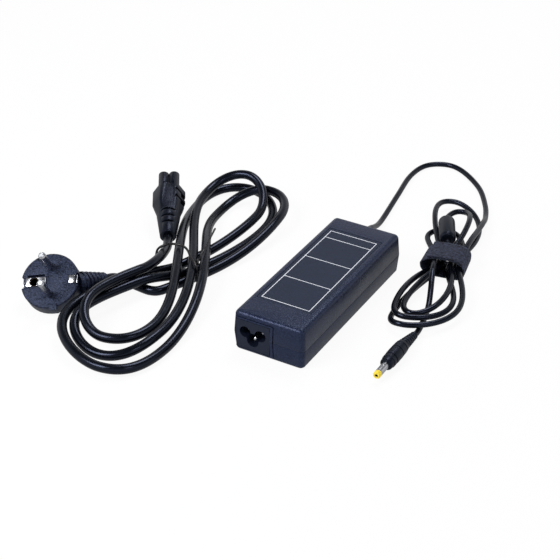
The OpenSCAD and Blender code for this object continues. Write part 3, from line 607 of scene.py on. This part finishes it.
def strap_point(t, v):
    """Centre of the tape's thickness, at a share of its length and a place across it in mm, in metres."""
    share = tape_start - tape_turns * t
    c, s = math.cos(share * 2 * math.pi), math.sin(share * 2 * math.pi)
    lift = overlap_lift * (1 - ease(min(max((t - 0.3) / 0.25, 0), 1))) + end_lift * max(1 - t / 0.03, 0)
    bulge = side_bulge * ease(max(1 - abs(share + 0.53) / 0.13, 0))
    wide, high = hank_half_w + lift + bulge, hank_half_h + lift
    x = wide * math.copysign(abs(c) ** 0.62, c)
    z = hank_mid_z + high * math.copysign(abs(s) ** (0.62 if s < 0 else 0.8), s)
    x += 0.5 * math.sin(9 * share) * v / 10
    z += 0.18 * math.sin(11 * share + 0.25 * v) * (1 if z > 3 else 0)
    return slanted(strap_mid, strap_slant, x, v, max(z, 0.75)) * MM


bpy.ops.mesh.primitive_grid_add(x_subdivisions=strap_steps, y_subdivisions=strap_rows, size=1)
strap = bpy.context.object
strap.name = "hook_and_loop_tape"
for v in strap.data.vertices:
    v.co = strap_point(v.co.x + 0.5, -tape_w * v.co.y)
apply_modifier(strap, "SOLIDIFY", thickness=tape_t * MM, offset=0.0)
apply_modifier(strap, "BEVEL", width=0.25 * MM, segments=2, limit_method="ANGLE")
smooth(strap, 50)

# Brushed nylon loops: matt black, with paler broken fibres in tufts 1 to 2 mm across, drawn coarser than
# they are.
loops_cloth, tree = blank_material("brushed_nylon_loop_tape")
place = add_node(tree, "ShaderNodeTexCoord", {})
fuzz = add_node(tree, "ShaderNodeTexNoise", {}, Vector=place.outputs["Object"], Scale=620.0, Detail=5.0,
                Roughness=0.85)
weave = add_node(tree, "ShaderNodeTexVoronoi", {}, Vector=place.outputs["Object"], Scale=800.0)
shade = add_node(tree, "ShaderNodeValToRGB", {}, Fac=fuzz.outputs["Fac"])
shade.color_ramp.elements[0].position = 0.42
shade.color_ramp.elements[0].color = linear("#020204")
shade.color_ramp.elements[1].position = 0.68
shade.color_ramp.elements[1].color = linear("#474d68")
tufts = add_node(tree, "ShaderNodeBump", {}, Height=fuzz.outputs["Fac"], Strength=0.9, Distance=0.0008)
knots = add_node(tree, "ShaderNodeBump", {}, Height=weave.outputs["Distance"], Strength=0.5, Distance=0.0005,
                 Normal=tufts.outputs["Normal"])
skin = add_node(tree, "ShaderNodeBsdfPrincipled", {}, Base_Color=shade.outputs["Color"], Roughness=0.8,
                Normal=knots.outputs["Normal"], Sheen_Weight=0.2, Sheen_Roughness=0.4,
                Sheen_Tint=linear("#aab4d8"), Specular_IOR_Level=0.3)
add_node(tree, "ShaderNodeOutputMaterial", {}, Surface=skin.outputs["BSDF"])
paint(["hook_and_loop_tape"], loops_cloth)
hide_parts("hook_and_loop_strap")
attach(strap, "adapter")

# ---------------------------------------------------------------- output plug
# A soft PVC handle moulded over a 4.8 mm plated barrel: a ribbed bend relief, a waisted grip with
# ring grooves, and a stepped collar. The barrel ends in a yellow nylon insulator.
plug_x, plug_z = 68.3, 5.4
grip = [(0, 3.6), (0.4, 3.9), (1.6, 4.3), (2.9, 4.45), (3.1, 4.1), (3.6, 4.1), (3.8, 4.55),
        (8.4, 4.7), (8.6, 4.3), (9.2, 4.3), (9.4, 4.75), (14.6, 4.75), (16.6, 4.6), (16.8, 4.15),
        (17.6, 4.15), (17.8, 4.6), (20.2, 4.6), (20.4, 4.2), (23.4, 4.1), (24.0, 3.8), (24.05, 2.5)]
handle = turned("output_plug_grip", (plug_x, -18, plug_z), (0, -1, 0), grip)
relief_from = Vector((plug_x, -1.6, 3.0))
relief_way = Vector((plug_x, -19.4, plug_z)) - relief_from
bend = turned("output_plug_relief", relief_from, relief_way,
              [(0, 2.2)] + [(x, r - 0.35) for x, r in ribs(0.5, 2.85, 6, 2.95, -0.26, 0.6)]
              + [(relief_way.length, 3.6)])
handle = joined("output_plug_handle", [handle, bend])
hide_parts("output_plug_moulding")
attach(handle, "adapter")
paint(["output_plug_handle"], soft_pvc)

# Nylon: moulded in yellow, glossy and smooth, with a faint cloudiness.
paint(["output_plug_tip"],
      drifting_finish("yellow_moulded_nylon", "#f7d128", "#ffec50", 500.0, 3.0, 0.05, Roughness=0.3))


# ---------------------------------------------------------------- connector
# A moulded three-pole connector on the mains cord: two round lobes over a third, shoulders for the
# fingers with two slots at one side, and three arched grooves where it narrows to the cord.
def softened(node, name, edge, cutters):
    """A merged copy of a CAD solid, with its grooves cut deeper and its sharp edges rounded."""
    piece = bpy.data.objects.new(name, nodes[node].data.copy())
    bpy.context.scene.collection.objects.link(piece)
    edit(piece)
    bpy.ops.mesh.select_all(action="SELECT")
    bpy.ops.mesh.remove_doubles(threshold=0.00001)
    bpy.ops.mesh.dissolve_limited(angle_limit=math.radians(4))
    leave(piece)
    cut(piece, *cutters)
    apply_modifier(piece, "BEVEL", width=edge * MM, segments=2, limit_method="ANGLE",
                   angle_limit=math.radians(28))
    smooth(piece, 32)
    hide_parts(node)
    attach(piece, "mains_lead")
    return piece


connector_frame = (Matrix.Translation(Vector((-124, 11.5, 9.8)) * MM)
                   @ Matrix.Rotation(math.radians(122), 4, "Z") @ Matrix.Rotation(math.radians(-14), 4, "Y"))
finger_slots, finger_slot_w, finger_slant = ((39.4, 8.6), (33.0, 7.2)), 4.2, math.radians(-14)
arched_grooves, arched_groove_w = (9.2, 14.8, 20.4), 1.5
slots = []
for x, y in finger_slots:
    slot = block("cutter", (x - finger_slot_w / 2, -14, -7.5), (x + finger_slot_w / 2, -7.4, 3.4))
    slot.data.transform(Matrix.Rotation(finger_slant, 4, "Z"))
    slot.data.transform(Matrix.Translation(Vector((1.2, y, 0)) * MM))
    slots.append(slot)
for x in arched_grooves:
    slots.append(block("cutter", (x - arched_groove_w / 2, -7, 4.6), (x + arched_groove_w / 2, 7, 9)))
slots.append(block("cutter", (24, -0.9, 6.4), (60, 0.9, 9)))
for slot in slots:
    slot.data.transform(connector_frame)
softened("connector_body", "connector_moulding", 0.35, slots)
paint(["connector_moulding"], soft_pvc)

# ---------------------------------------------------------------- mains plug
# An earthed plug, 38 mm across, moulded in one with its cord relief round two 4.8 mm pins. Its flat
# face is mottled, and two sprung earth contacts show at its rim and round the earth hole.
softened("mains_plug_body", "mains_plug_moulding", 0.4, [])

# Moulded PVC, cooled unevenly in the tool: blue-black and satin, with grey blots 1 to 2 mm across and pits.
mottled, tree = blank_material("mottled_moulded_pvc")
place = add_node(tree, "ShaderNodeTexCoord", {})
blots = add_node(tree, "ShaderNodeTexNoise", {}, Vector=place.outputs["Object"], Scale=620.0, Detail=5.0,
                 Roughness=0.85)
pits = add_node(tree, "ShaderNodeTexNoise", {}, Vector=place.outputs["Object"], Scale=900.0, Detail=4.0)
shade = add_node(tree, "ShaderNodeValToRGB", {}, Fac=blots.outputs["Fac"])
shade.color_ramp.elements[0].position = 0.44
shade.color_ramp.elements[0].color = linear("#04060b")
shade.color_ramp.elements[1].position = 0.57
shade.color_ramp.elements[1].color = linear("#2a3148")
rough = add_node(tree, "ShaderNodeMapRange", {}, Value=blots.outputs["Fac"], From_Min=0.35, From_Max=0.65,
                 To_Min=0.34, To_Max=0.5)
bumps = add_node(tree, "ShaderNodeBump", {}, Height=pits.outputs["Fac"], Strength=0.8, Distance=0.0005)
skin = add_node(tree, "ShaderNodeBsdfPrincipled", {}, Base_Color=shade.outputs["Color"],
                Roughness=rough.outputs["Result"], Normal=bumps.outputs["Normal"],
                Specular_Tint=linear("#b3bfe6"), IOR=1.53)
add_node(tree, "ShaderNodeOutputMaterial", {}, Surface=skin.outputs["BSDF"])
paint(["mains_plug_moulding"], mottled)
plug_frame = (Matrix.Translation(Vector((-151, -84, 18.8)) * MM) @ Matrix.Rotation(math.radians(26), 4, "Z")
              @ Matrix.Rotation(math.radians(-8), 4, "Y") @ Matrix.Rotation(math.radians(34), 4, "X"))
plate_corners = [((-15.7, -3.0, -0.5), (-2.4, 3.0, 0.12)), ((12.6, -2.7, -0.5), (16.6, 2.7, 0.12)),
                 ((-17.7, -3.0, -9), (-17.1, 3.0, -0.9)), ((17.4, -2.7, -4), (18.0, 2.7, -0.9))]
earth_hole_x, earth_hole_r = -10.3, 3.15
plates = []
for low, high in plate_corners:
    plate = block("plate", low, high)
    round_edges(plate, lambda p, q: p.z > -1 and q.z > -1, 0.2, 2)
    plates.append(plate)
cut(plates[0], rod("cutter", (earth_hole_x, 0, -2), (earth_hole_x, 0, 2), earth_hole_r))
earth_plates = joined("plug_earth_contacts", plates)
earth_plates.data.transform(plug_frame)
smooth(earth_plates, 40)
paint(["plug_earth_contacts"], nickel)

# Contact bronze, left bare inside the earth hole: painted a near-black brown as painted shade of the deep
# hole, so that it reads as a dark hole.
paint(["mains_plug_earth_sleeve"],
      drifting_finish("bronze_painted_hole_shade", "#14110f", "#231e1b", 900.0, Roughness=0.45, Metallic=1.0))
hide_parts("mains_plug_earth_plate")
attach(earth_plates, "mains_lead")

# ---------------------------------------------------------------- wire tie
# A 1.6 mm plastic-covered wire laid over the crossing of the mains loops, with its two ends twisted
# together at the right and one end left sticking up.
tie_line = through([(-118.6, -13, 1.2), (-118.3, -12.2, 7), (-117.4, -10.6, 13.5), (-113, -8, 16.9),
                    (-108, -4.5, 17.2), (-102, -3.8, 17.2), (-96, -7, 17.4), (-89, -13.5, 16.8),
                    (-83.5, -17, 15.6), (-81.3, -18.3, 12), (-81.2, -18.4, 6), (-81.2, -18.4, 1.2)], 6)
tie = cord_piece("wire_tie_loop", tie_line, 0.0016)
twist_turns, twist_steps, twist_r = 3, 48, 0.75
twist = []
for i in range(twist_steps + 1):
    t = i / twist_steps
    spin = t * 2 * math.pi * twist_turns
    spread = twist_r * (1 - ease(min(t / 0.95, 1)))
    base = Vector((-82.6, -16.6, 16.6)).lerp(Vector((-87.6, 3, 18.6)), t)
    twist.append(base + Vector((spread * math.cos(spin), 0, spread * math.sin(spin))))
tail_line = twist + through([(-87.6, 3, 18.6), (-90.4, 13, 18.8), (-93.4, 22, 18.2), (-94.8, 25.4, 17.4),
                             (-95.4, 24.4, 15.9)], 8)[1:]
tie_tail = cord_piece("wire_tie_tail", tail_line, 0.0013)
for piece in (tie, tie_tail):
    bpy.ops.object.select_all(action="DESELECT")
    piece.select_set(True)
    bpy.context.view_layer.objects.active = piece
    bpy.ops.object.convert(target="MESH")
    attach(piece, "mains_lead")
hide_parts("twist_tie")
paint(["wire_tie_loop", "wire_tie_tail"],
      drifting_finish("plastic_covered_wire", "#050508", "#0c0d13", 900.0, Roughness=0.3))

# ---------------------------------------------------------------- floor, world and lamps
# A white paper sweep under three soft boxes. The floor keeps a faint shadow and the camera sees it white.
# Glossy surfaces see it too, as paper in half shade, and the room as pale walls under a dark ceiling.
def seen_white(tree, share):
    """A share for camera, glossy and transmission rays, and none for the rest."""
    ray = add_node(tree, "ShaderNodeLightPath", {})
    either = add_node(tree, "ShaderNodeMath", {"operation": "MAXIMUM"})
    tree.links.new(ray.outputs["Is Glossy Ray"], either.inputs[0])
    tree.links.new(ray.outputs["Is Transmission Ray"], either.inputs[1])
    any_ray = add_node(tree, "ShaderNodeMath", {"operation": "MAXIMUM"})
    tree.links.new(either.outputs[0], any_ray.inputs[0])
    tree.links.new(ray.outputs["Is Camera Ray"], any_ray.inputs[1])
    scaled = add_node(tree, "ShaderNodeMath", {"operation": "MULTIPLY"})
    tree.links.new(any_ray.outputs[0], scaled.inputs[0])
    scaled.inputs[1].default_value = share
    return scaled.outputs[0], ray


bpy.ops.mesh.primitive_plane_add(size=8, location=(0, 0, -0.0003))
floor = bpy.context.object
floor.name = "floor"
sweep, tree = blank_material("white_paper_sweep")
seen, ray = seen_white(tree, 0.93)
matt = add_node(tree, "ShaderNodeBsdfDiffuse", {}, Color=linear("#f4f4f5"))
paper = add_node(tree, "ShaderNodeMapRange", {}, Value=ray.outputs["Is Camera Ray"], To_Min=0.5, To_Max=1.0)
white = add_node(tree, "ShaderNodeEmission", {}, Color=(1, 1, 1, 1), Strength=paper.outputs["Result"])
both = add_node(tree, "ShaderNodeMixShader", {}, Fac=seen)
tree.links.new(matt.outputs[0], both.inputs[1])
tree.links.new(white.outputs[0], both.inputs[2])
add_node(tree, "ShaderNodeOutputMaterial", {}, Surface=both.outputs[0])
floor.data.materials.append(sweep)

world = bpy.data.worlds.new("studio")
bpy.context.scene.world = world
world.use_nodes = True
tree = world.node_tree
tree.nodes.clear()
seen, ray = seen_white(tree, 1.0)
way = add_node(tree, "ShaderNodeTexCoord", {})
parts = add_node(tree, "ShaderNodeSeparateXYZ", {}, Vector=way.outputs["Generated"])
dome = add_node(tree, "ShaderNodeMapRange", {}, Value=parts.outputs["Z"], From_Min=0.3, From_Max=0.7,
                To_Min=0.8, To_Max=0.12)
level_seen = add_node(tree, "ShaderNodeMath", {"operation": "MAXIMUM"})
tree.links.new(dome.outputs["Result"], level_seen.inputs[0])
tree.links.new(ray.outputs["Is Camera Ray"], level_seen.inputs[1])
room = add_node(tree, "ShaderNodeBackground", {}, Color=(1, 1, 1, 1), Strength=0.34)
white = add_node(tree, "ShaderNodeBackground", {}, Color=(1, 1, 1, 1), Strength=level_seen.outputs[0])
both = add_node(tree, "ShaderNodeMixShader", {}, Fac=seen)
tree.links.new(room.outputs[0], both.inputs[1])
tree.links.new(white.outputs[0], both.inputs[2])
add_node(tree, "ShaderNodeOutputWorld", {}, Surface=both.outputs[0])

lamp_aim = Vector((0, 0.03, 0))
for name, place_at, size, power in (("top_box", (-0.1, 0.55, 1.1), 0.45, 5.5),
                                    ("left_box", (-0.44, -0.74, 0.86), 0.46, 8.4),
                                    ("right_box", (0.9, -0.4, 1.0), 0.35, 1.5)):
    lamp = bpy.data.lights.new(name, "AREA")
    lamp.size = size
    lamp.energy = power
    box = bpy.data.objects.new(name, lamp)
    bpy.context.scene.collection.objects.link(box)
    box.location = place_at
    box.rotation_euler = (lamp_aim - Vector(place_at)).to_track_quat("-Z", "Y").to_euler()

bpy.context.scene.view_settings.view_transform = "Standard"
bpy.context.view_layer.update()
